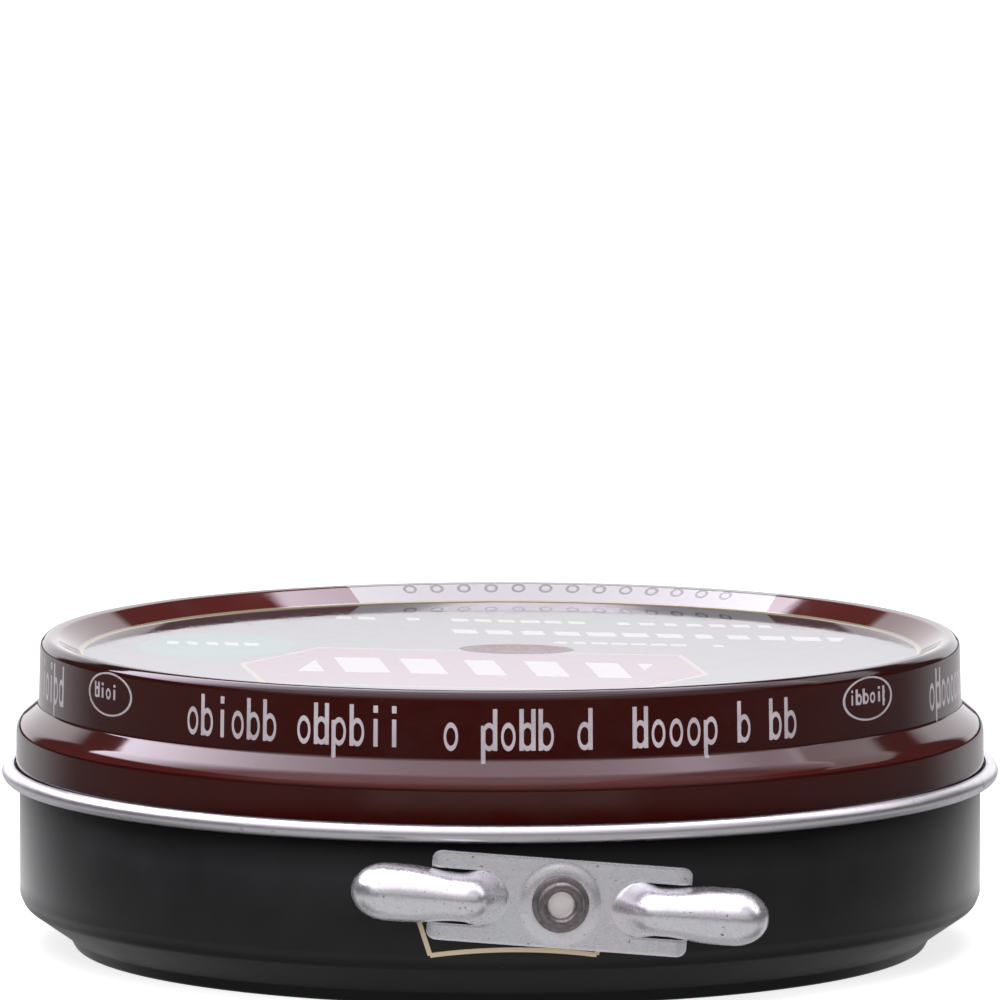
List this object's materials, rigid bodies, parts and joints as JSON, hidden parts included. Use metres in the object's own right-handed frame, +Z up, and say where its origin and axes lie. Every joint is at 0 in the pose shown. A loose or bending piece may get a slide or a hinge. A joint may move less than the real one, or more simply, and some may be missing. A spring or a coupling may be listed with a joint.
{
  "type": "shoe polish tin",
  "caption": "Round shoe polish tin: black cup of wax polish, stepped slip-on lid with a bare rolled edge, and a winged turn key on a rivet that prises the lid up.",
  "frame": {"origin": "middle of the tin's flat underside, on the tin's axis", "axes": "+Z up along the tin's axis, -Y out through the opener's rivet, +X to the right seen from the opener's side"},
  "size_m": [0.074, 0.0765, 0.0231],
  "materials": {
    "black_enamel": "satin gloss black enamel on tinplate",
    "maroon_lacquer": "gloss maroon lacquer on tinplate, bare bright tinplate on the rolled edge",
    "wax_polish": "soft satin wax",
    "zinc_plate": "bright zinc plate with small pits",
    "rivet_steel": "dull plated steel"
  },
  "bodies": {
    "base": {"base_cup": "black_enamel", "wax_polish": "wax_polish", "opener_rivet": "rivet_steel"},
    "lid": {"lid": "maroon_lacquer"},
    "opener": {"opener_key": "zinc_plate"}
  },
  "joints": [
    {"name": "opener_turn", "type": "hinge", "parent": "base", "child": "opener", "pos_m": [0, -0.0363, 0.00805], "axis": [0, 1, 0], "range_deg": [0, 90]},
    {"name": "lid_lift", "type": "slide", "parent": "base", "child": "lid", "axis": [0, 0, 1], "range_m": [0, 0.01413]}
  ],
  "couplings": [
    {"joint": "opener_turn", "follows": "lid_lift", "rad_per_m": 111.11}
  ]
}
